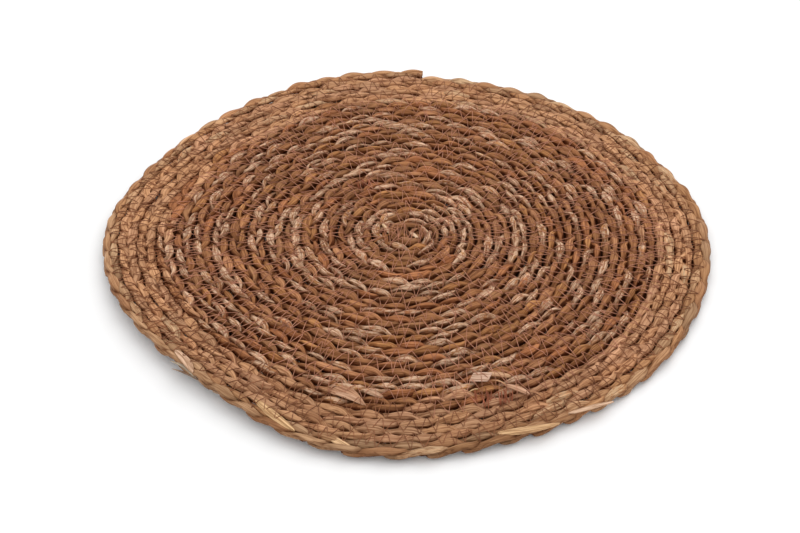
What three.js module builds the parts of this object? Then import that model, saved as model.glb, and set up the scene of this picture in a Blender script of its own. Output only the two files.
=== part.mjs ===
// Round placemat of plaited plant leaf, laid flat. A flat plait is wound from the middle outwards into a
// spiral and its rounds are sewn side by side: brown leaf makes the centre, golden leaf the border, and a
// last round of broad leaf the rim, whose cut end lies at the back. Millimetres, +Z up, the table at z = 0.
import * as THREE from 'three';

// The coil, in rounds counted from its middle. It opens clockwise, seen from above.
const PLAIT_WIDTH = 11.2;
const COIL_STARTS = 0.5;
const BORDER_STARTS = 13.25;
const RIM_STARTS = 15.5;
const COIL_ENDS = 16.5;
const CUT_END_DIRECTION = 87;
const CUT_END_STEP = 8;
const SEAM_GAP = 0.3;

// Heights across one plait. Its upper face shows two rows of strands, its lower face is one rib.
const THICKNESS = 7.5;
const MIDDLE_GROOVE = 6.5;
const UPPER_SEAM = 5.2;
const LOWER_SEAM = 2.2;
const HEART_OFFSET = 2;

// The crossings of the rim's plait stand out as lobes, with a hollow between each two
const LOBES = 56;
const HOLLOW_DEPTH = 1.2;
const HOLLOW_DROP = 0.5;
const RIM_STEPS = 2 * LOBES;
const ROUND_STEPS = 48;

// The outline is not a true circle: how far each side stands out from the spiral, by direction
const RIM_RADIUS = 190;
const OUTLINE = [
  { side: 'right', direction: 5, bulge: 5.2 },
  { side: 'right of the back', direction: 28, bulge: 0.6 },
  { side: 'back right', direction: 48, bulge: 0.8 },
  { side: 'before the cut end', direction: 72, bulge: -1 },
  { side: 'cut end', direction: 88, bulge: -0.6 },
  { side: 'back', direction: 108, bulge: -0.6 },
  { side: 'flat at the back left', direction: 134, bulge: -5.4 },
  { side: 'back of the left corner', direction: 152, bulge: -4.2 },
  { side: 'left corner', direction: 181, bulge: 5.2 },
  { side: 'flat at the front left', direction: 227, bulge: -5.6 },
  { side: 'front', direction: 260, bulge: 6 },
  { side: 'front right', direction: 298, bulge: 0 },
  { side: 'right of the front', direction: 330, bulge: 1.5 },
];

// The mat does not lie quite flat: how far its rim lifts off the table, by direction
const LIFT_FROM_RADIUS = 95;
const LIFT = [
  { side: 'right', direction: 0, rise: 0.6 },
  { side: 'back', direction: 90, rise: 0 },
  { side: 'left', direction: 170, rise: 3.5 },
  { side: 'front left', direction: 218, rise: 6 },
  { side: 'front', direction: 275, rise: 0.8 },
  { side: 'front right', direction: 320, rise: 0 },
];

const FULL_TURN = 2 * Math.PI;
const { degToRad, radToDeg, euclideanModulo, lerp } = THREE.MathUtils;

// A value by direction, eased by half a cosine from each row of a table to the next, round the circle
function around(table, column, angle) {
  const degrees = euclideanModulo(radToDeg(angle), 360);
  const after = table.findIndex((row) => row.direction > degrees);
  const next = table.at(Math.max(after, 0));
  const last = table.at(Math.max(after, 0) - 1);
  const span = euclideanModulo(next.direction - last.direction, 360);
  const share = euclideanModulo(degrees - last.direction, 360) / span;
  return lerp(last[column], next[column], (1 - Math.cos(Math.PI * share)) / 2);
}

// How far a seam lies from the middle. The last round grows by less, because the rim's plait narrows.
function seamRadius(turn) {
  return PLAIT_WIDTH * turn - (PLAIT_WIDTH - CUT_END_STEP) * Math.max(0, turn - COIL_ENDS);
}

// A point of the laid mat, from its direction and its radius and height in an even, flat coil
function lay(angle, coilRadius, height) {
  const share = coilRadius / RIM_RADIUS;
  const radius = coilRadius + around(OUTLINE, 'bulge', angle) * share * share;
  const lifted = Math.max(0, (coilRadius - LIFT_FROM_RADIUS) / (RIM_RADIUS - LIFT_FROM_RADIUS));
  const rise = around(LIFT, 'rise', angle) * lifted * lifted;
  return [radius * Math.cos(angle), radius * Math.sin(angle), height + rise];
}

// Rows that follow the plait on its upper and lower face, by the share of its width that lies inside them
const UPPER_ROWS = [
  { across: 0.25, height: THICKNESS },
  { across: 0.5, height: MIDDLE_GROOVE },
  { across: 0.75, height: THICKNESS },
];
const LOWER_ROWS = [{ across: 0.5, height: 0 }];

// Collects points and triangles into one closed mesh of a plait
class PlaitSurface {
  points = [];
  faces = [];

  // turn counts rounds, across is the share of the plait's width, and outset moves the point outwards
  point(turn, across, height, outset = 0) {
    const angle = degToRad(CUT_END_DIRECTION) + FULL_TURN * (COIL_ENDS - turn);
    const coilRadius = lerp(seamRadius(turn), seamRadius(turn + 1), across) + outset;
    this.points.push(...lay(angle, coilRadius, height));
    return this.points.length / 3 - 1;
  }

  // Corners run counter-clockwise, seen from outside
  fan(...corners) {
    for (let i = 1; i + 1 < corners.length; i += 1) this.faces.push(corners[0], corners[i], corners[i + 1]);
  }

  mesh(name, colour, roughness) {
    const geometry = new THREE.BufferGeometry();
    geometry.setAttribute('position', new THREE.Float32BufferAttribute(this.points, 3));
    geometry.setIndex(this.faces);
    geometry.computeVertexNormals();
    const mesh = new THREE.Mesh(geometry, new THREE.MeshStandardMaterial({ color: colour, roughness }));
    mesh.name = name;
    return mesh;
  }
}

// One face of a coil as columns across the plait, from its inner seam over the rows to its outer seam. The
// outer seam of a round is the inner seam of the next, so the rounds are one solid.
function faceColumns(surface, { rows, seam, turns, steps, stepsPerTurn, pad, hollowAt }) {
  const seams = turns.map((turn, step) => {
    const inner = step <= stepsPerTurn;
    const outer = step >= steps;
    const gap = (inner && !pad ? SEAM_GAP / 2 : 0) - (outer ? SEAM_GAP / 2 : 0);
    const hollow = outer && hollowAt(step) ? HOLLOW_DEPTH : 0;
    return surface.point(turn, 0, inner && pad ? rows[0].height : seam, gap - hollow);
  });
  return turns.slice(0, steps + 1).map((turn, step) => {
    const drop = (row) => (row.across > 0.5 && hollowAt(step) ? HOLLOW_DROP : 0);
    const crests = rows.map((row) => surface.point(turn, row.across, row.height - drop(row)));
    return [seams[step], ...crests, seams[step + stepsPerTurn]];
  });
}

const never = () => false;

// A plait wound from one round to another, closed at its ends and along its inner and outer edges. Where it
// starts the whole mat, its first round has a pad at the coil's middle, level with the crests.
function woundPlait({ name, colour, roughness, from, to, stepsPerTurn, pad = false, hollowAt = never }) {
  const surface = new PlaitSurface();
  const steps = Math.round((to - from) * stepsPerTurn);
  // The cut end, from its inner to its outer seam, stops a gap short of the next plait
  const endGap = SEAM_GAP / (FULL_TURN * seamRadius(to));
  const turns = Array.from({ length: steps + stepsPerTurn + 1 }, (_, step) => {
    const atCutEnd = step === steps || step === steps + stepsPerTurn;
    return from + step / stepsPerTurn - (atCutEnd ? endGap : 0);
  });
  const shared = { turns, steps, stepsPerTurn, pad, hollowAt };
  const upper = faceColumns(surface, { rows: UPPER_ROWS, seam: UPPER_SEAM, ...shared });
  const lower = faceColumns(surface, { rows: LOWER_ROWS, seam: LOWER_SEAM, ...shared });

  for (let step = 0; step < steps; step += 1) {
    const [top, nextTop, under, nextUnder] = [upper[step], upper[step + 1], lower[step], lower[step + 1]];
    for (let row = 1; row < top.length; row += 1) {
      surface.fan(top[row - 1], nextTop[row - 1], nextTop[row], top[row]);
    }
    for (let row = 1; row < under.length; row += 1) {
      surface.fan(under[row - 1], under[row], nextUnder[row], nextUnder[row - 1]);
    }
    // The free edges: outside on the last round, and inside on the first one unless the pad fills it
    if (step >= steps - stepsPerTurn) surface.fan(top.at(-1), nextTop.at(-1), nextUnder.at(-1), under.at(-1));
    if (step < stepsPerTurn && !pad) surface.fan(top[0], under[0], nextUnder[0], nextTop[0]);
  }
  const [endTop, endUnder] = [upper[steps], lower[steps]];
  surface.fan(endUnder[1], endUnder[2], ...endTop.toReversed(), endUnder[0]);
  if (pad) {
    closeHeart(surface, upper, THICKNESS, { from, stepsPerTurn, upwards: true });
    closeHeart(surface, lower, 0, { from, stepsPerTurn, upwards: false });
  } else {
    surface.fan(lower[0][1], lower[0][0], ...upper[0], lower[0][2]);
  }
  return surface.mesh(name, colour, roughness);
}

// The level face inside the first round, a fan from a point just beside the coil's middle
function closeHeart(surface, columns, height, { from, stepsPerTurn, upwards }) {
  const turn = from + 0.75;
  const heart = surface.point(turn, 0, height, HEART_OFFSET - seamRadius(turn));
  const curl = columns.slice(0, stepsPerTurn + 1).map((column) => column[0]);
  const startCrests = columns[0].slice(1, -1);
  const loop = [...curl, ...startCrests.toReversed(), curl[0]];
  surface.fan(heart, ...(upwards ? loop.toReversed() : loop));
}

const placemat = new THREE.Group();
placemat.add(
  woundPlait({
    name: 'centre_coil',
    colour: 0xa5734f,
    roughness: 0.8,
    from: COIL_STARTS,
    to: BORDER_STARTS,
    stepsPerTurn: ROUND_STEPS,
    pad: true,
  }),
  woundPlait({
    name: 'border_coil',
    colour: 0xb98d64,
    roughness: 0.75,
    from: BORDER_STARTS,
    to: RIM_STARTS,
    stepsPerTurn: ROUND_STEPS,
  }),
  woundPlait({
    name: 'rim_plait',
    colour: 0xc39a6e,
    roughness: 0.7,
    from: RIM_STARTS,
    to: COIL_ENDS,
    stepsPerTurn: RIM_STEPS,
    hollowAt: (step) => step % 2 === 1,
  }),
);

export default placemat;
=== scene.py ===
"""Round placemat of plaited leaf, wound in a spiral and sewn with a zigzag.

Shapes are worked out in the coil's own even, flat space, in millimetres: a turn counts rounds from the
middle, across runs outwards over the plait's width, and height is above the table. lay() then gives that
space the mat's uneven outline and its lifted edge. The coil opens clockwise, seen from above.
"""
import math
from typing import NamedTuple

import bpy
import numpy as np
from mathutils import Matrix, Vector


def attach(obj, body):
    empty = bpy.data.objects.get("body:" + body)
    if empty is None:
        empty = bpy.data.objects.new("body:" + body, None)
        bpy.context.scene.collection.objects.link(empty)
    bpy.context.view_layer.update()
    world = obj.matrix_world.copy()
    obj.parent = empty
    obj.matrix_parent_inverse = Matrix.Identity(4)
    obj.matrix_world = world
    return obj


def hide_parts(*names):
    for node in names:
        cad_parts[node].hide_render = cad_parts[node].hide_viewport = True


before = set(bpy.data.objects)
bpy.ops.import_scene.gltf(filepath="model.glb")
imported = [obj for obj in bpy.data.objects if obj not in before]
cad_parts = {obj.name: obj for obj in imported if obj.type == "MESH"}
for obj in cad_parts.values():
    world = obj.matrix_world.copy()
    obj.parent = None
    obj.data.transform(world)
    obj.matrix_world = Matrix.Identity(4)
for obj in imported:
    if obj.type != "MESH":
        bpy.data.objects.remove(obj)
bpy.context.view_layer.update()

MM = 0.001
TAU = 2 * math.pi

# The coil, as the solids have it, in millimetres, degrees and rounds from its middle
PLAIT_WIDTH = 11.2
BORDER_STARTS = 13.25
RIM_STARTS = 15.5
COIL_ENDS = 16.5
CUT_END_DIRECTION = 87
CUT_END_STEP = 8
THICKNESS = 7.5
HIGHEST_LEAF = THICKNESS + 1
UNDERSIDE = 0.35
RIM_RADIUS = 190
LIFT_FROM_RADIUS = 95

# Side, its direction in degrees, and how far it stands out from the even coil
OUTLINE = (
    ("right", 5, 5.2),
    ("right of the back", 28, 0.6),
    ("back right", 48, 0.8),
    ("before the cut end", 72, -1),
    ("cut end", 88, -0.6),
    ("back", 108, -0.6),
    ("flat at the back left", 134, -5.4),
    ("back of the left corner", 152, -4.2),
    ("left corner", 181, 5.2),
    ("flat at the front left", 227, -5.6),
    ("front", 260, 6),
    ("front right", 298, 0),
    ("right of the front", 330, 1.5),
)

# Side, its direction in degrees, and how far the rim lifts off the table there
LIFT = (
    ("right", 0, 0.6),
    ("back", 90, 0),
    ("left", 170, 3.5),
    ("front left", 218, 6),
    ("front", 275, 0.8),
    ("front right", 320, 0),
)

# Side, its direction in degrees, and how light the golden leaf is there
BORDER_LIGHTNESS = (
    ("right", 0, 0.95),
    ("back right", 45, 0.93),
    ("back", 100, 0.93),
    ("left", 180, 0.98),
    ("front left", 222, 0.92),
    ("front", 268, 0.76),
    ("front right", 315, 0.92),
)

# The same for the rim, where it is painted light and shade: darker at the front and left, lighter at the back
# left
RIM_PAINTED_LIGHT_AND_SHADE = (
    ("right", 0, 0.95),
    ("back right", 45, 0.97),
    ("back", 100, 1.03),
    ("back left", 140, 1.1),
    ("left", 180, 0.9),
    ("front left", 222, 0.86),
    ("front", 268, 0.72),
    ("front right", 315, 0.9),
)

# The photograph's camera: from how many degrees above the table it looks, from how many metres, at which
# point of the table, and its lens and sensor in millimetres
CAMERA_ELEVATION = 40.08
CAMERA_DISTANCE = 0.9732
CAMERA_TARGET = (-0.0066, -0.0261, 0.0)
CAMERA_LENS = 69.24
CAMERA_SENSOR = 36.0

# The studio, in metres and watts: the floor and how pale it is, the even light, and the key light
FLOOR_SIDE = 12
FLOOR_GREY = 0.93
EVEN_LIGHT = 1.01
KEY_LIGHT_SIDE = 1.6
KEY_LIGHT_POWER = 9.5
KEY_LIGHT_PLACE = (0.45, 1.0, 1.45)


def smooth(value):
    """A soft step: 0 below 0, 1 above 1, and 3v squared less 2v cubed between."""
    value = np.clip(value, 0, 1)
    return value * value * (3 - 2 * value)


def around(table, angle):
    """A table's value by direction, eased by half a cosine from each row to the next round the circle."""
    directions = np.array([row[1] for row in table], float)
    values = np.array([row[2] for row in table], float)
    directions = np.concatenate([[directions[-1] - 360], directions, [directions[0] + 360]])
    values = np.concatenate([[values[-1]], values, [values[0]]])
    degrees = np.degrees(angle) % 360
    after = np.searchsorted(directions, degrees, side="right")
    share = (degrees - directions[after - 1]) / (directions[after] - directions[after - 1])
    eased = (1 - np.cos(math.pi * share)) / 2
    return values[after - 1] + eased * (values[after] - values[after - 1])


def seam_radius(turn):
    """A seam's distance from the middle: a plait's width for each turn, and less past the last full round."""
    return PLAIT_WIDTH * turn - (PLAIT_WIDTH - CUT_END_STEP) * np.maximum(0, turn - COIL_ENDS)


def middle_radius(turn):
    """The plait's middle line, half way between its two seams."""
    return (seam_radius(turn) + seam_radius(turn + 1)) / 2


def plait_width(turn):
    """The plait's width there, from seam to seam."""
    return seam_radius(turn + 1) - seam_radius(turn)


def direction_at(turn):
    """The direction of a turn from the middle, in radians: it falls by a full circle for each turn."""
    return math.radians(CUT_END_DIRECTION) + TAU * (COIL_ENDS - turn)


def lay(angle, coil_radius, height):
    """The laid mat's point: the radius grows by the outline's bulge times the square of the point's share of
    the rim's radius, and the height by the lift times the square of its share of the way out to the rim."""
    share = coil_radius / RIM_RADIUS
    radius = coil_radius + around(OUTLINE, angle) * share**2
    lifted = np.clip((coil_radius - LIFT_FROM_RADIUS) / (RIM_RADIUS - LIFT_FROM_RADIUS), 0, None)
    rise = around(LIFT, angle) * lifted**2
    return MM * np.stack([radius * np.cos(angle), radius * np.sin(angle), height + rise], axis=-1)


def turn_after(length):
    """The turn whose middle line lies that far along the coil: pi r squared over the width is the length."""
    return np.sqrt(length / (math.pi * PLAIT_WIDTH)) - 0.5


def length_at(turn):
    """The length of the coil's middle line up to a turn, as turn_after() has it."""
    return math.pi * PLAIT_WIDTH * (turn + 0.5) ** 2


def new_mesh(name, points, quads, triangles, material, attributes=None):
    """A mesh object at the origin from whole arrays: points, four- and three-cornered faces, and float
    vector attributes by name."""
    mesh = bpy.data.meshes.new(name)
    mesh.vertices.add(len(points))
    mesh.vertices.foreach_set("co", np.asarray(points, np.float32).ravel())
    mesh.loops.add(quads.size + triangles.size)
    corners = np.concatenate([quads.ravel(), triangles.ravel()])
    mesh.loops.foreach_set("vertex_index", corners.astype(np.int32))
    mesh.polygons.add(len(quads) + len(triangles))
    starts = np.concatenate([4 * np.arange(len(quads)), quads.size + 3 * np.arange(len(triangles))])
    mesh.polygons.foreach_set("loop_start", starts.astype(np.int32))
    mesh.update(calc_edges=True)
    mesh.validate()
    mesh.polygons.foreach_set("use_smooth", np.ones(len(mesh.polygons), bool))
    for key, values in (attributes or {}).items():
        layer = mesh.attributes.new(key, "FLOAT_VECTOR", "POINT")
        layer.data.foreach_set("vector", np.asarray(values, np.float32).ravel())
    mesh.materials.append(material)
    piece = bpy.data.objects.new(name, mesh)
    bpy.context.scene.collection.objects.link(piece)
    return piece


def tube_faces(sections, corners, first=0):
    """Faces of a tube given as sections of so many corners: the quads along it, and triangles that close
    both ends on the two points that follow the sections. first is the tube's first point."""
    ring = np.arange(corners)
    after = (ring + 1) % corners
    row = first + corners * np.arange(sections - 1)[:, None]
    quads = np.stack([row + ring, row + corners + ring, row + corners + after, row + after], axis=-1)
    start_pole = first + sections * corners
    last_row = first + (sections - 1) * corners
    start = np.stack([np.full(corners, start_pole), first + ring, first + after], axis=-1)
    end = np.stack([np.full(corners, start_pole + 1), last_row + after, last_row + ring], axis=-1)
    return quads.reshape(-1, 4), np.concatenate([start, end])


# Leaf and thread colours, red, green and blue from 0 to 255 as they look on a screen
BROWN_LEAVES = {
    "brown": (156, 106, 68),
    "red brown": (157, 102, 65),
    "ochre": (161, 111, 68),
    "chestnut": (142, 95, 60),
    "rose brown": (162, 112, 76),
    "dull brown": (149, 104, 69),
}
GOLDEN_LEAVES = {
    "tan": (187, 139, 101),
    "honey": (182, 132, 94),
    "rose tan": (185, 137, 102),
    "dull tan": (177, 132, 97),
    "gold": (190, 141, 101),
}
RIM_LEAVES = {
    "tan": (175, 130, 92),
    "cream": (188, 146, 108),
    "honey": (171, 124, 84),
    "dull tan": (162, 124, 90),
    "red tan": (170, 122, 84),
}
PALE_LEAF = (224, 187, 156)
CREAM_LEAF = (214, 176, 136)
THREAD_COLOURS = {
    "tan_thread": (190, 130, 102),
    # The same thread as the tan one, painted darker for the shade where it sinks into the border's leaf
    "thread_in_painted_shade": (146, 91, 58),
    "plain_thread": (150, 100, 70),
    "red_thread": (172, 98, 66),
    "heart_thread": (184, 124, 94),
}


def linear_colours(table):
    """Screen colours as rows of linear red, green and blue."""
    values = np.array(list(table), float) / 255
    return np.where(values <= 0.04045, values / 12.92, ((values + 0.055) / 1.055) ** 2.4)


class Plait(NamedTuple):
    """A length of three-strand plait. Lengths are in millimetres.

    Its pieces are named stretches from one turn to another. Its crossings lie so far apart, and its strands
    reach so far from its middle line and rise so far above the middle of its height. A strand's foot slopes
    down to the width that closes the plait, by so much for each millimetre, and its edges count as lower by
    the edge shade, which darkens them with painted shade. Its own leaves are the border leaves, and their
    lightness is given by direction: the border's own tone, and on the rim painted light and shade. Odd
    strands have pale patches, and their share is given. Unevenness is how far strands stray sideways and up
    or down, and how much their width varies."""

    node: str
    slot: str
    seed: int
    pieces: tuple
    crossing: float
    reach: float
    rise: float
    leaf_width: float
    leaf_thickness: float
    foot_width: float
    foot_slope: float
    edge_shade: float
    border_leaves: dict
    tone_and_painted_shade: tuple
    odd_share: float
    unevenness: float


PLAITS = (
    Plait(
        node="centre_coil",
        slot="brown_leaf",
        seed=11,
        pieces=(
            ("inner_plait", -0.2, 7.4),
            ("middle_plait", 7.4, 10.7),
            ("outer_plait", 10.7, BORDER_STARTS),
        ),
        crossing=16.5,
        reach=2.85,
        rise=1.8,
        leaf_width=3.8,
        leaf_thickness=3.1,
        foot_width=7.8,
        foot_slope=0.9,
        edge_shade=0.2,
        border_leaves=GOLDEN_LEAVES,
        tone_and_painted_shade=BORDER_LIGHTNESS,
        odd_share=0.34,
        unevenness=0.3,
    ),
    Plait(
        node="border_coil",
        slot="golden_leaf",
        seed=13,
        pieces=(("border_plait", BORDER_STARTS, RIM_STARTS),),
        crossing=19,
        reach=2.95,
        rise=1.35,
        leaf_width=4.6,
        leaf_thickness=2.4,
        foot_width=8.2,
        foot_slope=0.5,
        edge_shade=0.13,
        border_leaves=GOLDEN_LEAVES,
        tone_and_painted_shade=BORDER_LIGHTNESS,
        odd_share=0.08,
        unevenness=0.2,
    ),
    Plait(
        node="rim_plait",
        slot="rim_leaf",
        seed=14,
        pieces=(("rim_leaves", RIM_STARTS, COIL_ENDS),),
        crossing=20.7,
        reach=2.5,
        rise=1.5,
        leaf_width=5.6,
        leaf_thickness=2.7,
        foot_width=6.6,
        foot_slope=0.7,
        edge_shade=0.16,
        border_leaves=RIM_LEAVES,
        tone_and_painted_shade=RIM_PAINTED_LIGHT_AND_SHADE,
        odd_share=0.1,
        unevenness=0.12,
    ),
)

# How three strands make a plait: how late in its wave a strand comes up, how far the wave is raised so that
# it stays up longer, how full its swings are sideways and upwards, how much its spindle swells, how much
# wider it lies under, and how far its leaf tilts, in degrees
STRANDS = 3
COMES_UP_LATE = 0.35
STAYS_UP = 0.35
SIDE_FULLNESS = 2.8
RISE_FULLNESS = 1.5
SPINDLE = 0.28
WIDER_UNDER = 0.8
LEAF_TILT = 10

# A strand's mesh: the step between its sections, a section's corners, how deep its three and its five waves
# of creases are, the length along which they turn by a radian, and the width of the leaf strip folded in it
SECTION_STEP = 1.5
SECTION_CORNERS = 14
THREE_CREASES = 0.14
FIVE_CREASES = 0.12
CREASES_TURN = 12

# Painted light and shade, as shares of the plait's height, where a lower share paints the leaf darker: how
# much lower a foot counts for each millimetre of its slope, the heart's rounds and how much higher they
# count, and how many millimetres out the rim's open side starts, over how many it comes in, and how high it
# counts at least
FOOT_SHADE = 0.3
HEART_ROUNDS = 6
HEART_LIGHT = 0.16
OPEN_SIDE_STARTS = 3
OPEN_SIDE_COMES_IN = 1.5
OPEN_SIDE_LIGHT = 0.62

# Leaf colours: the turns between which the plait's own leaves come in, how many times a leaf comes up before
# the next one, the share of stray leaves, how light a leaf is and how far that varies, and the share of that
# variation that the border lacks
GOLD_COMES_IN = (12.5, 13.9)
LEAF_LASTS = 4
STRAY_LEAVES = 0.45
LEAF_LIGHTNESS = 1.14
LIGHTNESS_VARIES = 0.2
EVENER_BORDER = 0.35

# How far the material's pattern moves on from leaf to leaf, from strand to strand and from bit to bit
LEAF_PATTERN_STEP = 0.37
STRAND_PATTERN_STEP = 5
BIT_PATTERN_STEP = 3.1


def uneven(rng, length, spacing, spread):
    """A value that wanders within plus or minus spread along a length, straight from one drawn value to the
    next, which is a spacing further on."""
    places = np.arange(length[0], length[-1] + spacing, spacing)
    return np.interp(length, places, rng.uniform(-spread, spread, len(places)))


def crossings(plait, length, rng):
    """How many crossings lie before each place along the plait. They come at the plait's own spacing, each a
    little early or late, and lie a little closer in the tight rounds at the middle."""
    spacing = plait.crossing * (0.82 + 0.18 * smooth(turn_after(length) / 4))
    return np.cumsum((1 + uneven(rng, length, 14, 0.17)) / spacing) * (length[1] - length[0])


def by_pass(values, passes):
    """A value for each time a strand comes up, held while it shows, and eased to the next while under."""
    below = np.floor(passes).astype(int)
    share = smooth((passes - below - 0.3) / 0.4)
    share = share.reshape(share.shape + (1,) * (values.ndim - 1))
    return values[below] * (1 - share) + values[below + 1] * share


def filled_out(wave, fullness):
    """A wave from -1 to 1 that stays longer near its ends: tanh(fullness * wave) / tanh(fullness)."""
    return np.tanh(fullness * wave) / math.tanh(fullness)


def held_back(across, free=4.4, most=6.1):
    """Across the plait, with what lies beyond free eased by tanh, so that it nears but never passes most."""
    room = most - free
    beyond = np.clip(np.abs(across) - free, 0, None)
    return np.sign(across) * (np.minimum(np.abs(across), free) + room * np.tanh(beyond / room))


def strand_path(plait, number, length, count, rng):
    """One strand's path, how its leaf lies there, and the number of times it has come up.

    With the angle psi growing by two thirds of pi at each crossing, the strand lies reach times sin psi
    across, filled out, and rise times sin (2 psi - late), raised a little and filled out, above the middle.
    So it comes up and goes under once on each side. Its leaf lies nearly flat. It is a spindle, widest where
    it shows, and wider still where it lies under."""
    psi = TAU / STRANDS * (count + number)
    passes = (psi - math.pi / 4 - COMES_UP_LATE / 2) / math.pi + 1
    shown = int(passes.max()) + 3
    aside, above = (by_pass(rng.normal(0, plait.unevenness, shown), passes) for _ in range(2))
    tilt = by_pass(rng.normal(0, math.radians(LEAF_TILT), shown), passes)
    across = plait.reach * filled_out(np.sin(psi), SIDE_FULLNESS) + aside
    wave = (np.sin(2 * psi - COMES_UP_LATE) + STAYS_UP) / (1 + STAYS_UP)
    height = (THICKNESS + UNDERSIDE) / 2 + plait.rise * filled_out(wave, RISE_FULLNESS) + above
    spindle = 1 - SPINDLE * np.cos(4 * psi - 2 * COMES_UP_LATE) + WIDER_UNDER * smooth(0.35 - 1.4 * wave)
    return passes, across, height, spindle, tilt


def strand(plait, number, length, count, rng):
    """One strand of a plait, as sections round its path: points, colours, fibre places and masks.

    A section is an oval of the leaf's width and thickness with soft creases: three and five waves round it,
    which turn slowly along the strand. Its lower half slopes out to the plait's foot width and overlaps the
    strands beside it, so that the plait has no holes. At the mat's middle it is narrower by 0.15. A mask is
    1 on odd leaves or else 0, then the height share that sets the painted shade, then the leaf's place in
    the material's pattern."""
    turn = turn_after(length)
    passes, across, height, spindle, tilt = strand_path(plait, number, length, count, rng)
    shown = int(passes.max()) + 3
    wide = by_pass(1 + plait.unevenness * rng.uniform(-1.2, 1.5, shown), passes)
    thick = by_pass(rng.uniform(0.85, 1.12, shown), passes)
    crease, fold = (by_pass(rng.uniform(0, TAU, shown), passes) for _ in range(2))

    spacing = length[1] - length[0]
    slope, climb = np.gradient(across, spacing), np.gradient(height, spacing)
    level = np.stack([-slope, np.ones_like(slope), np.zeros_like(slope)], axis=-1)
    level /= np.linalg.norm(level, axis=-1, keepdims=True)
    upward = np.stack([-climb, -slope * climb, 1 + slope**2], axis=-1)
    upward /= np.linalg.norm(upward, axis=-1, keepdims=True)

    ring = TAU * np.arange(SECTION_CORNERS) / SECTION_CORNERS
    half_width = plait.leaf_width / 2 * wide * spindle * (0.85 + 0.15 * smooth(turn / HEART_ROUNDS))
    half_thickness = plait.leaf_thickness / 2 * thick
    turning = length / CREASES_TURN
    creased = (
        1
        + THREE_CREASES * np.cos(3 * ring + (crease + turning)[:, None])
        + FIVE_CREASES * np.cos(5 * ring + (fold - turning)[:, None])
    )
    foot = np.clip(plait.foot_width / 2 - half_width, 0, None)[:, None] * smooth(-2.5 * np.sin(ring))
    side = (half_width[:, None] * (1 + (creased - 1) / 2) + foot) * np.cos(ring)
    deep = half_thickness[:, None] * np.sin(ring) * creased - plait.foot_slope * foot * np.abs(np.cos(ring))
    outwards = side * np.cos(tilt)[:, None] + deep * np.sin(tilt)[:, None]
    upwards = -side * np.sin(tilt)[:, None] + deep * np.cos(tilt)[:, None]
    offset = outwards[..., None] * level[:, None] + upwards[..., None] * upward[:, None]

    radius = middle_radius(turn)
    narrowing = plait_width(turn) / PLAIT_WIDTH
    angle = direction_at(turn)[:, None] - offset[..., 0] / radius[:, None]
    placed = held_back(across[:, None] + offset[..., 1])
    coil_radius = np.abs(radius[:, None] + placed * narrowing[:, None])
    flat_height = np.clip(height[:, None] + offset[..., 2], UNDERSIDE, HIGHEST_LEAF)
    points = lay(angle, coil_radius, flat_height)

    near = np.rint(passes).astype(int)
    colour = leaf_tones(plait, near, turn, rng)
    odd = rng.random(shown) < plait.odd_share
    fibres = np.stack(np.broadcast_arrays(length[:, None], side, deep), axis=-1)
    # The height share, from which the finish paints shade on the low parts and edges of each leaf
    depth = height_share(plait, turn[:, None], flat_height, placed, foot, np.abs(np.cos(ring)))
    strip = LEAF_PATTERN_STEP * near[:, None] + STRAND_PATTERN_STEP * number
    mask = np.stack(np.broadcast_arrays(odd[near][:, None], depth, strip), axis=-1)
    return points, np.broadcast_to(colour[:, None], points.shape), fibres, mask


def height_share(plait, turn, flat_height, placed, foot, sideways):
    """How far up the plait a point lies, from 0 to 1, for the painted shade in the leaf's finish, which
    darkens low points. The foot counts as lower by its slope, and the edges by the fourth power of how far
    they point sideways, so each leaf has a dark outline of painted shade. The heart counts as higher, with
    less painted shade, and the rim's open side, which nothing shades, never as low."""
    share = (flat_height - UNDERSIDE) / (THICKNESS - UNDERSIDE)
    share -= FOOT_SHADE * plait.foot_slope * foot * sideways + plait.edge_shade * sideways**4
    share += HEART_LIGHT * smooth(1 - turn / HEART_ROUNDS)
    open_side = smooth((placed - OPEN_SIDE_STARTS) / OPEN_SIDE_COMES_IN) * (turn > RIM_STARTS)
    return np.maximum(share, OPEN_SIDE_LIGHT * open_side)


def leaf_tones(plait, near, turn, rng):
    """A leaf colour for each time the strand comes up. One leaf lasts for a few times, now and then a stray
    one lies over it, and the plait's own leaves come in over the brown ones where the centre meets the
    border. Their lightness changes round the mat: the border's as its own tone, the rim's as painted light
    and shade."""
    shown = near.max() + 1
    chosen = np.repeat(rng.random(shown // LEAF_LASTS + 1), LEAF_LASTS)[:shown]
    stray = rng.random(shown) < STRAY_LEAVES
    chosen[stray] = rng.random(stray.sum())
    share = smooth((turn - GOLD_COMES_IN[0]) / (GOLD_COMES_IN[1] - GOLD_COMES_IN[0]))
    golden = rng.random(shown)[near] < share
    brown, own = (
        linear_colours(table.values())[(chosen * len(table)).astype(int)][near]
        for table in (BROWN_LEAVES, plait.border_leaves)
    )
    varied = rng.uniform(-LIGHTNESS_VARIES, LIGHTNESS_VARIES, shown)[near]
    shade = LEAF_LIGHTNESS + (1 - EVENER_BORDER * share) * varied
    # By direction: the border's own tone, and on the rim painted light and shade
    tone_and_painted_shade = 1 + share * (around(plait.tone_and_painted_shade, direction_at(turn)) - 1)
    return np.where(golden[:, None], own, brown) * (shade * tone_and_painted_shade)[:, None]


def plaited(plait, material):
    """A plait's three strands, worked out along its whole length and parted into pieces, each a mesh of
    closed tubes."""
    rng = np.random.default_rng(plait.seed)
    first, last = length_at(plait.pieces[0][1]), length_at(plait.pieces[-1][2])
    length = np.linspace(first, last, int((last - first) / SECTION_STEP))
    count = crossings(plait, length, rng)
    strands = [strand(plait, number, length, count, rng) for number in range(STRANDS)]
    return [plait_piece(plait, part, length, strands, material) for part in plait.pieces]


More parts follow.
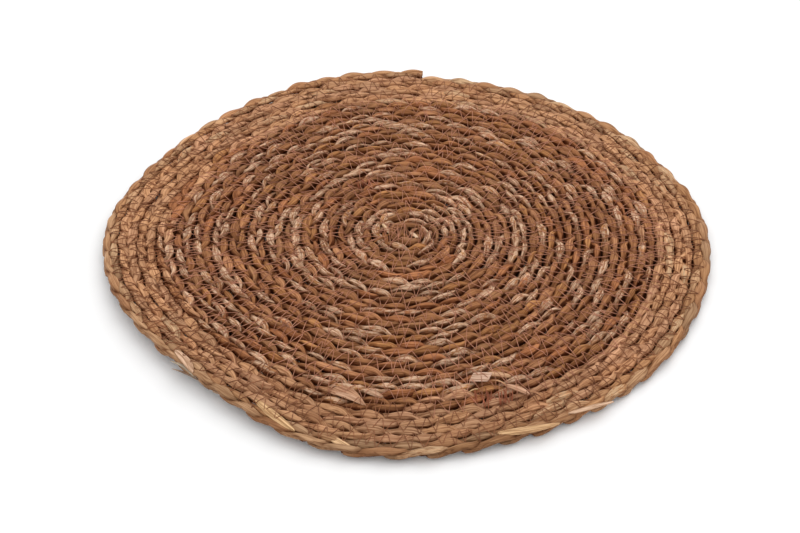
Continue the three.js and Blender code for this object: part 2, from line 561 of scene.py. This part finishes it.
def plait_piece(plait, part, length, strands, material):
    """The sections of a plait's strands from one turn to another, as one mesh."""
    name, first_turn, last_turn = part
    start, end = np.searchsorted(length, [length_at(first_turn), length_at(last_turn)])
    end = min(end + 1, len(length))
    cut = [[values[start:end] for values in made] for made in strands]
    piece = joined_strands(name, cut, SECTION_CORNERS, material)
    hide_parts(plait.node)
    return piece


# Loose ends and bits of leaf. Where the middle of each lies, which way it points, its length, width and
# thickness, the heights of its two ends above the table, how far it bows up and sideways, and how blunt (0)
# or pointed (1) its ends are. Lengths in millimetres, directions in degrees.
LOOSE_LEAF = (
    # name, x, y, direction, length, width, thick, height, end, bow up, bow aside, start, tip, colour
    ("free strip", -131.8, -129.8, 147, 19, 2.6, 0.5, 8.5, 11.5, 1.0, -1.0, 0.3, 0.8, (186, 172, 152)),
    ("lower free strip", -130.5, -131.0, 157, 18, 1.8, 0.5, 5.5, 8.0, 0.5, -0.6, 0.3, 0.7, (166, 142, 122)),
    ("pale rim leaf", -131.4, -125.8, -56, 21, 5.0, 1.2, 12.9, 11.9, 1.2, 0.6, 0.5, 0.5, (206, 168, 138)),
    ("strip under the rim", -109.0, -145.6, -22, 10, 2.4, 0.8, 6.0, 5.0, 0.3, 0.3, 0.4, 0.4, (226, 196, 166)),
    ("folded patch", -34.5, -151.2, -38, 24, 10.5, 0.5, 8.9, 8.2, 0.5, 1.2, 0.25, 1.3, (184, 138, 106)),
    ("fold of the patch", -35.0, -153.2, -32, 19, 4.5, 0.5, 9.1, 8.9, 0.4, 1.0, 0.4, 0.9, (196, 154, 124)),
    ("square flake", 39.8, -135.4, -3, 11, 8.0, 0.4, 9.0, 9.6, 0.2, 0.0, 0.03, 0.03, (198, 162, 138)),
    ("leaf beside the flake", 50.6, -133.2, -9, 14, 4.6, 1.6, 8.3, 7.9, 0.4, 0.3, 0.4, 0.6, (196, 154, 118)),
    ("curled shred", 50.2, -140.0, -30, 10.5, 0.9, 0.7, 8.4, 8.0, 0.8, 1.2, 0.3, 0.6, (206, 160, 118)),
    ("end by the tangle", 60.5, -145.0, -29, 15, 4.2, 1.4, 8.4, 8.0, 0.4, 0.6, 0.5, 0.6, (190, 146, 116)),
    ("shred", 35.5, -145.5, 27, 6, 0.9, 0.7, 8.4, 8.0, 0.4, 0.3, 0.5, 0.5, (196, 160, 116)),
    ("pale bead of leaf", -21.7, -148.6, -24, 12, 3.6, 1.8, 8.6, 8.2, 0.4, 0.2, 0.5, 0.5, (206, 168, 138)),
    ("cream leaf in front", 65.0, -174.0, 12, 36, 5, 1.6, 6.8, 6.8, 0.8, -1.5, 0.5, 0.7, (210, 170, 126)),
    ("tab at the front", -40, -185.4, -36, 12, 5, 0.8, 7.9, 7.3, 0.2, 0.0, 0.2, 0.1, (204, 164, 122)),
    ("cream leaf by front", -76.5, -166.2, -45, 33, 5.4, 1.6, 9.9, 8.7, 0.8, -1.0, 0.5, 0.6, (210, 170, 124)),
    ("long bent leaf", -1.5, 4.6, 4, 17, 3.4, 2.6, 6.4, 6.6, 0.8, 2.2, 0.5, 0.6, (146, 98, 62)),
    ("leaf over the middle", -4.6, -1.2, 52, 10, 3.0, 2.2, 6.2, 6.4, 0.5, 1.0, 0.5, 0.7, (140, 94, 60)),
    ("leaf below the middle", 0.5, -6.8, -14, 13, 3.0, 2.4, 6.4, 6.2, 0.6, -1.6, 0.5, 0.7, (158, 112, 78)),
    ("leaf beside the middle", 6.6, -0.6, 96, 10, 3.2, 2.6, 6.2, 6.4, 0.6, -1.2, 0.5, 0.4, (148, 98, 62)),
    ("leaf low in the middle", -0.4, -1.0, 15, 15, 8.0, 2.4, 4.6, 4.6, 0.2, 0.0, 0.3, 0.3, (122, 80, 50)),
    ("short end in the middle", 2.0, 0.8, 38, 8, 2.2, 1.8, 6.4, 7.0, 0.3, 0.6, 0.5, 0.6, (160, 112, 78)),
    ("crossed end in the middle", -1.6, -0.6, -64, 8, 1.6, 1.4, 6.8, 7.2, 0.3, 0.4, 0.5, 0.7, (134, 88, 58)),
    ("pale end in the middle", 2.0, -3.6, -51, 8.5, 2.6, 1.6, 7.0, 7.6, 0.3, 0.2, 0.2, 0.3, (228, 194, 160)),
    ("pale leaf by middle", -15.9, 2.4, -66, 9.5, 2.8, 1.4, 8.0, 7.8, 0.4, 0.4, 0.4, 0.5, (216, 182, 146)),
    ("fibre over the middle", -17.7, -8.8, 37, 16, 0.8, 0.7, 8.4, 8.6, 0.6, 0.8, 0.5, 0.5, (160, 106, 62)),
    ("shred right of the middle", 10.0, 1.0, 118, 6, 1.6, 1.2, 7.8, 7.6, 0.4, 0.4, 0.4, 0.5, (222, 186, 150)),
    ("pale leaf on the rim", 101.2, -157.8, 24, 30, 3.0, 1.0, 8.2, 5.4, 1.0, -0.6, 0.5, 0.6, (206, 170, 140)),
)

# A bit's mesh: how far its torn ends slant for each millimetre of width, how far its sides drop for each
# square millimetre, its sections, and their corners
TORN_SLANT = 0.35
CUPPING = 0.02
BIT_SECTIONS = 14
BIT_CORNERS = 10


def leaf_bit(number, row):
    """One bit of leaf: flattened ovals along a bowed line, torn off at a slant. At the share u of its length
    its width follows u^start (1 - u)^tip, scaled to 1 at its widest. Gives the same as strand()."""
    _, x, y, direction, length, width, thick, height, end, bow_up, bow_aside, start, tip, colour = row
    share = np.linspace(0.004, 0.996, BIT_SECTIONS)
    widest = start / (start + tip)
    outline = (share / widest) ** start * ((1 - share) / (1 - widest)) ** tip
    bow = 4 * share * (1 - share)
    ring = TAU * (np.arange(BIT_CORNERS) + 0.5) / BIT_CORNERS
    side = width / 2 * outline[:, None] * np.sign(np.cos(ring)) * np.abs(np.cos(ring)) ** 0.6
    deep = thick / 2 * np.sin(ring)
    along = length * (share - 0.5)[:, None] + TORN_SLANT * side
    aside = bow_aside * bow[:, None] + side
    turned = math.radians(direction)
    flat_x = x + along * math.cos(turned) - aside * math.sin(turned)
    flat_y = y + along * math.sin(turned) + aside * math.cos(turned)
    level = (height + (end - height) * share + bow_up * bow)[:, None] - CUPPING * side**2 + deep
    points = MM * np.stack(np.broadcast_arrays(flat_x, flat_y, level), axis=-1)
    colours = np.broadcast_to(linear_colours([colour]), points.shape)
    fibres = np.stack(np.broadcast_arrays(along, side, deep), axis=-1)
    # The height share, from which the finish paints shade on bits lying low
    masks = np.broadcast_to([0, min(height / THICKNESS, 1), BIT_PATTERN_STEP * number], points.shape)
    return points, colours, fibres, masks


def joined_strands(name, strands, corners, material):
    """One mesh of closed tubes, each given as sections with their colours, fibre places and masks."""
    stores, quads, triangles = [[], [], [], []], [], []
    for made in strands:
        faces = tube_faces(len(made[0]), corners, sum(len(values) for values in stores[0]))
        quads.append(faces[0])
        triangles.append(faces[1])
        for store, values in zip(stores, made):
            store.append(np.concatenate([values.reshape(-1, 3), values[[0, -1]].mean(axis=1)]))
    points, colours, fibres, masks = (np.concatenate(store) for store in stores)
    attributes = {"leaf_colour": colours, "leaf_fibres": fibres, "leaf_mask": masks}
    piece = new_mesh(name, points, np.concatenate(quads), np.concatenate(triangles), material, attributes)
    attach(piece, "root")
    return piece


class Value:
    """A node socket that Python's operators work on, each adding a Math node."""

    def __init__(self, tree, socket):
        self.tree, self.socket = tree, socket

    def _maths(self, operation, *values):
        return self.tree.node("ShaderNodeMath", {"operation": operation}, dict(enumerate(values)))

    def __add__(self, other):
        return self._maths("ADD", self, other)

    def __sub__(self, other):
        return self._maths("SUBTRACT", self, other)

    def __rsub__(self, other):
        return self._maths("SUBTRACT", other, self)

    def __mul__(self, other):
        return self._maths("MULTIPLY", self, other)

    def __pow__(self, other):
        return self._maths("POWER", self, other)

    def clamped(self):
        return self.tree.node("ShaderNodeClamp", {}, {"Value": self})

    def step(self, low, high):
        """0 at low and 1 at high, with a soft step between."""
        settings = {"interpolation_type": "SMOOTHSTEP"}
        values = {"Value": self, "From Min": low, "From Max": high}
        return self.tree.node("ShaderNodeMapRange", settings, values)

    __radd__ = __add__
    __rmul__ = __mul__


class Finish:
    """A material's node tree, with one method that adds any node."""

    def __init__(self, name, **constants):
        self.material = bpy.data.materials.new(name)
        self.material.use_nodes = True
        self.nodes = self.material.node_tree.nodes
        self.links = self.material.node_tree.links
        self.shader = self.nodes["Principled BSDF"]
        for socket, value in constants.items():
            self.shader.inputs[socket.replace("_", " ")].default_value = value

    def feed(self, socket, value):
        """Sets a socket, or links it."""
        if isinstance(value, Value):
            self.links.new(value.socket, socket)
        else:
            socket.default_value = value

    def node(self, kind, settings, values, output=0):
        """A new node: its type, its settings, and the values or links of its sockets. Gives one output."""
        node = self.nodes.new(kind)
        for name, value in settings.items():
            setattr(node, name, value)
        for name, value in values.items():
            self.feed(node.inputs[name], value)
        return Value(self, node.outputs[output])

    def attribute(self, name):
        return self.node("ShaderNodeAttribute", {"attribute_name": name}, {}, "Vector")

    def parts(self, vector):
        """The three numbers of a vector."""
        split = self.node("ShaderNodeSeparateXYZ", {}, {0: vector}).socket.node
        return [Value(self, split.outputs[i]) for i in range(3)]

    def vector(self, x, y, z):
        return self.node("ShaderNodeCombineXYZ", {}, {"X": x, "Y": y, "Z": z})

    def noise(self, vector, scale, detail, roughness=0.5):
        values = {"Vector": vector, "Scale": scale, "Detail": detail, "Roughness": roughness}
        return self.node("ShaderNodeTexNoise", {}, values)

    def mix(self, share, low, high, blend="MIX"):
        """Two colours mixed by a share, or blended that far."""
        node = self.nodes.new("ShaderNodeMix")
        node.data_type, node.blend_type = "RGBA", blend
        for name, value in (("Factor_Float", share), ("A_Color", low), ("B_Color", high)):
            self.feed(next(socket for socket in node.inputs if socket.identifier == name), value)
        return Value(self, next(s for s in node.outputs if s.identifier == "Result_Color"))

    def tinted(self, colour, tint):
        """A colour multiplied by another."""
        return self.mix(1.0, colour, (*tint, 1.0), "MULTIPLY")

    def bump(self, height, strength, distance):
        values = {"Height": height, "Strength": strength, "Distance": distance}
        return self.node("ShaderNodeBump", {}, values)

    def surface(self, **links):
        for socket, value in links.items():
            self.feed(self.shader.inputs[socket.replace("_", " ")], value)
        return self.material


def opaque(colour):
    """A colour table's entry as a node's colour."""
    return (*linear_colours([colour])[0], 1.0)


# What a colour is multiplied by: the leaf's on bright and dark fibres and on blotches, its painted shade in
# creases and low down between the strands, a pale patch's on its darker fibres, and the thread's on its worn
# lengths
BRIGHT_FIBRES = (1.4, 1.49, 1.62)
DARK_FIBRES = (0.56, 0.45, 0.35)
BLOTCHED = (0.74, 0.65, 0.58)
PAINTED_CREASE_SHADE = (0.44, 0.31, 0.22)
PAINTED_LOW_SHADE = (0.24, 0.1, 0.03)
PALE_FIBRES = 0.84
WORN_THREAD = (0.6, 0.55, 0.5)


def leaf_finish(name, pale, roughness, streaks, relief, bright_from):
    """Dried leaf: its own colour, streaked and creased along its fibres, with crackled pale patches on the
    odd strands, painted shade along the creases, and painted shade below the share of the plait's height that
    bright_from gives."""
    finish = Finish(name, Specular_IOR_Level=0.12)
    along, side, deep = finish.parts(finish.attribute("leaf_fibres"))
    odd, depth, strip = finish.parts(finish.attribute("leaf_mask"))
    fibres = finish.noise(finish.vector(along * 0.06 + strip * 9.1, side * 0.85, deep * 0.85), 1.0, 4.0, 0.65)
    folds = finish.noise(finish.vector(along * 0.04 + strip * 5.3, side * 0.6, deep * 0.6), 1.0, 1.0)
    blotches = finish.noise(finish.vector(along * 0.2 + strip * 3.7, side * 0.4, deep * 0.4), 1.0, 4.0, 0.7)
    crackle = finish.noise(finish.vector(along * 0.14 + strip * 2.3, side * 0.9, deep * 0.9), 1.2, 3.0, 0.7)
    creases = (((folds - 0.5) ** 2) ** 0.5).step(0.0, 0.08)
    # Painted shade where the plait's height share is low, between and under the strands; pale patches fade in
    # it
    low = (1 - depth.step(0.3, bright_from)).clamped()
    leaf = finish.attribute("leaf_colour")
    leaf = finish.mix(fibres.step(0.48, 0.68) * streaks, leaf, finish.tinted(leaf, BRIGHT_FIBRES))
    leaf = finish.mix((1 - fibres.step(0.34, 0.5)) * streaks, leaf, finish.tinted(leaf, DARK_FIBRES))
    leaf = finish.mix(blotches.step(0.5, 0.75) * 0.5, leaf, finish.tinted(leaf, BLOTCHED))
    patches = odd * blotches.step(0.4, 0.5) * crackle.step(0.4, 0.48) * (1 - low * 0.8)
    pale_fibres = opaque(tuple(PALE_FIBRES * part for part in pale))
    pale_leaf = finish.mix(fibres.step(0.35, 0.6), pale_fibres, opaque(pale))
    leaf = finish.mix(patches * 0.92, leaf, pale_leaf)
    # Painted shade along the crease lines, then low down between the strands
    leaf = finish.mix((1 - creases) * streaks, leaf, finish.tinted(leaf, PAINTED_CREASE_SHADE))
    leaf = finish.mix(low * 0.92, leaf, finish.tinted(leaf, PAINTED_LOW_SHADE))
    return finish.surface(
        Base_Color=leaf,
        Roughness=roughness + (fibres - 0.5) * 0.25,
        Normal=finish.bump(fibres * 0.4 + creases * 0.6, relief, 0.6 * MM),
    )


def thread_finish(name, colour):
    """Spun sewing thread with a few lighter and darker lengths."""
    finish = Finish(name, Roughness=0.7, Specular_IOR_Level=0.3)
    place = finish.node("ShaderNodeTexCoord", {}, {}, "Object")
    wear = finish.noise(place, 90, 3.0)
    shade = finish.mix(wear.step(0.35, 0.65), opaque(colour), finish.tinted(opaque(colour), WORN_THREAD))
    return finish.surface(Base_Color=shade)


# The height map, in metres: how far it reaches from the middle, its cells' side, and how high above the
# table a thread lies where no plait is, on the face and underneath
MAP_REACH = 0.21
MAP_CELL = 0.0006
BARE_FACE = 0.005
BARE_UNDERSIDE = 0.003


def map_cell(points):
    """The row and column of the height map's cell that each point lies over."""
    cells = ((points[..., :2] + MAP_REACH) / MAP_CELL).astype(int)
    return cells[..., 0], cells[..., 1]


def height_map(pieces, under):
    """A sewn face's heights on a square grid: the highest point of the pieces in each cell, spread to the
    next cells. For the underside it is the lowest point, and heights are counted downwards."""
    size = int(2 * MAP_REACH / MAP_CELL)
    heights = np.full((size, size), -np.inf)
    for piece in pieces:
        points = np.empty(3 * len(piece.data.vertices), np.float32)
        piece.data.vertices.foreach_get("co", points)
        points = points.reshape(-1, 3)
        np.maximum.at(heights, map_cell(points), -points[:, 2] if under else points[:, 2])
    spread = heights.copy()
    for x in (-1, 0, 1):
        for y in (-1, 0, 1):
            spread = np.maximum(spread, np.roll(np.roll(heights, x, 0), y, 1))

    def look_up(points):
        found = spread[map_cell(points)]
        return np.where(np.isfinite(found), found, -BARE_UNDERSIDE if under else BARE_FACE)

    return look_up


# The sewing, in millimetres: a thread's radius and corners, how deep it dips at a needle hole, how far a
# stitch reaches from the seam and how far on it goes, the turn at which the sewing starts, and about how far
# from the middle the thread is painted darker, for the shade where it sinks into the border's leaf
THREAD_RADIUS = 0.23
THREAD_CORNERS = 4
NEEDLE_DIP = 0.7
STITCH_REACH = 6.4
STITCH_STEP = 3.8
SEWING_STARTS = 0.9
PAINTED_SHADE_THREAD_STARTS = 152.72
SEWING_SEED = 21
DARNING_SEED = 31

# Places sewn over once more, in millimetres: name, x, y, half the width and height, stitches and thread
DARNS = (
    ("red_tangle_front", 46, -149, 13, 9, 34, "red_thread"),
    ("red_tangle_back", -30, 52.8, 8, 5, 16, "red_thread"),
    ("heart_stitches", 0, -1, 17, 13, 26, "heart_thread"),
)


def zigzag(rng, first_turn, last_turn):
    """Needle holes of a zigzag over the seam, by turns inside and outside it. Steps along it are 0.4 to 1.6
    of the stitch step, and reaches 0.65 to 1.25 of the stitch's, with a wander of up to 0.9 mm. At the coil's
    middle and on the rim they are held back, on the rim's end to 0.3 of a plait's width."""
    first, last = (math.pi * PLAIT_WIDTH * turn**2 for turn in (first_turn, last_turn))
    holes = int((last - first) / STITCH_STEP)
    along = first + np.cumsum(STITCH_STEP * rng.uniform(0.4, 1.6, holes))
    along = first + (along - first) * (last - first) / (along[-1] - first)
    turn = np.sqrt(along / (math.pi * PLAIT_WIDTH))
    reach = np.minimum(STITCH_REACH * rng.uniform(0.65, 1.25, holes), seam_radius(turn) - 1)
    outer_reach = np.minimum(reach, COIL_ENDS * PLAIT_WIDTH - seam_radius(turn) + 0.3 * PLAIT_WIDTH)
    across = np.where(np.arange(holes) % 2, outer_reach, -reach) + uneven(rng, along, 60, 0.9)
    return lay(direction_at(turn), seam_radius(turn) + across, 0 * turn)


def taut(heights, rounds=14):
    """A thread pulled over bumps: no point lies lower than the bump or than half way between its two
    neighbours, worked out again and again."""
    line = heights.copy()
    for _ in range(rounds):
        line[:, 1:-1] = np.maximum(heights[:, 1:-1], (line[:, :-2] + line[:, 2:]) / 2)
    return line


def sewn(name, holes, look_up, material, steps=8, under=False):
    """A thread from hole to hole as one thin tube, with so many steps to a stitch. Between two holes it is
    straight seen from above, and taut over the plaits, sunk in them by 0.4 of its radius, and at a hole it
    dips into the leaf."""
    share = np.arange(steps) / steps
    start, end = holes[:-1, None], holes[1:, None]
    track = start + (end - start) * np.append(share, 1)[None, :, None]
    height = look_up(track) + 0.6 * THREAD_RADIUS * MM
    height[:, [0, -1]] -= NEEDLE_DIP * MM
    height = taut(height)
    track[..., 2] = np.maximum(-height, THREAD_RADIUS * MM) if under else height
    line = np.concatenate([track[:, :-1].reshape(-1, 3), track[-1:, -1]])
    forward = np.gradient(line, axis=0)
    forward /= np.linalg.norm(forward, axis=1, keepdims=True)
    sideways = np.stack([-forward[:, 1], forward[:, 0], 0 * forward[:, 0]], axis=-1)
    sideways /= np.linalg.norm(sideways, axis=1, keepdims=True)
    upward = np.cross(forward, sideways)
    ring = TAU * (np.arange(THREAD_CORNERS) + 0.5) / THREAD_CORNERS
    radius = THREAD_RADIUS * MM
    rings = line[:, None] + radius * (
        np.cos(ring)[None, :, None] * sideways[:, None] + np.sin(ring)[None, :, None] * upward[:, None]
    )
    quads, triangles = tube_faces(len(line), THREAD_CORNERS)
    points = np.concatenate([rings.reshape(-1, 3), line[[0, -1]]])
    piece = new_mesh(name, points, quads, triangles, material)
    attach(piece, "root")
    return piece


def darn(rng, x, y, half_width, half_height, stitches):
    """Needle holes of a tight darn over an oval, in millimetres: uneven steps from one side to the other, and
    at each step a stroke across the rows, by turns up and down."""
    beside = np.linspace(-1, 1, stitches + 2)[1:-1] + rng.uniform(-0.15, 0.15, stitches)
    stroke = np.where(np.arange(stitches) % 2, 1, -1) * rng.uniform(0.3, 1, stitches)
    far = half_height * stroke * np.sqrt(np.clip(1 - beside**2, 0, 1))
    return MM * np.stack([x + half_width * beside, y + far, np.full(stitches, THICKNESS)], axis=-1)


def floor_and_light():
    """A pale floor, a soft key light high on the right and behind, and even white light all round."""
    bpy.ops.mesh.primitive_plane_add(size=FLOOR_SIDE)
    floor = bpy.context.object
    floor.name = "floor"
    finish = Finish("pale_floor", Roughness=0.9, Specular_IOR_Level=0.1)
    floor.data.materials.append(finish.surface(Base_Color=(FLOOR_GREY, FLOOR_GREY, FLOOR_GREY, 1)))
    world = bpy.data.worlds.new("studio")
    world.use_nodes = True
    background = world.node_tree.nodes["Background"]
    background.inputs["Color"].default_value = (1, 1, 1, 1)
    background.inputs["Strength"].default_value = EVEN_LIGHT
    bpy.context.scene.world = world
    light = bpy.data.lights.new("key", "AREA")
    light.size = KEY_LIGHT_SIDE
    light.energy = KEY_LIGHT_POWER
    key = bpy.data.objects.new("key", light)
    key.location = KEY_LIGHT_PLACE
    key.rotation_euler = (-key.location).to_track_quat("-Z", "Y").to_euler()
    bpy.context.scene.collection.objects.link(key)


def photograph_camera():
    """The camera at the photograph's angle, aimed at a point on the table."""
    data = bpy.data.cameras.new("camera")
    data.lens = CAMERA_LENS
    data.sensor_width = CAMERA_SENSOR
    data.clip_start = 0.01
    camera = bpy.data.objects.new("camera", data)
    elevation = math.radians(CAMERA_ELEVATION)
    target = Vector(CAMERA_TARGET)
    camera.location = target + CAMERA_DISTANCE * Vector((0, -math.cos(elevation), math.sin(elevation)))
    camera.rotation_euler = (math.pi / 2 - elevation, 0, 0)
    bpy.context.scene.collection.objects.link(camera)
    bpy.context.scene.camera = camera


photograph_camera()
floor_and_light()
bpy.context.scene.view_settings.view_transform = "Standard"

finishes = {
    name: leaf_finish(name, **look)
    for name, look in {
        "brown_leaf": dict(pale=PALE_LEAF, roughness=0.62, streaks=0.75, relief=0.6, bright_from=0.9),
        "golden_leaf": dict(pale=CREAM_LEAF, roughness=0.6, streaks=0.7, relief=0.5, bright_from=0.65),
        "rim_leaf": dict(pale=CREAM_LEAF, roughness=0.55, streaks=0.6, relief=0.4, bright_from=0.85),
    }.items()
}
threads = {name: thread_finish(name, colour) for name, colour in THREAD_COLOURS.items()}
plaits = [piece for plait in PLAITS for piece in plaited(plait, finishes[plait.slot])]

bits = [leaf_bit(number, row) for number, row in enumerate(LOOSE_LEAF)]
loose_leaf = joined_strands("loose_leaf", bits, BIT_CORNERS, finishes["golden_leaf"])

top = height_map([*plaits, loose_leaf], False)
underside = height_map(plaits, True)
holes = zigzag(np.random.default_rng(SEWING_SEED), SEWING_STARTS, COIL_ENDS)
# From here out the thread is painted darker, for the shade where it sinks into the border's leaf
changes = np.searchsorted(np.hypot(holes[:, 0], holes[:, 1]), MM * PAINTED_SHADE_THREAD_STARTS)
sewn("centre_thread", holes[: changes + 1], top, threads["tan_thread"])
sewn("border_thread", holes[changes:], top, threads["thread_in_painted_shade"])
sewn("underside_thread", holes, underside, threads["plain_thread"], steps=4, under=True)

darning = np.random.default_rng(DARNING_SEED)
for name, *place, thread in DARNS:
    sewn(name, darn(darning, *place), top, threads[thread])
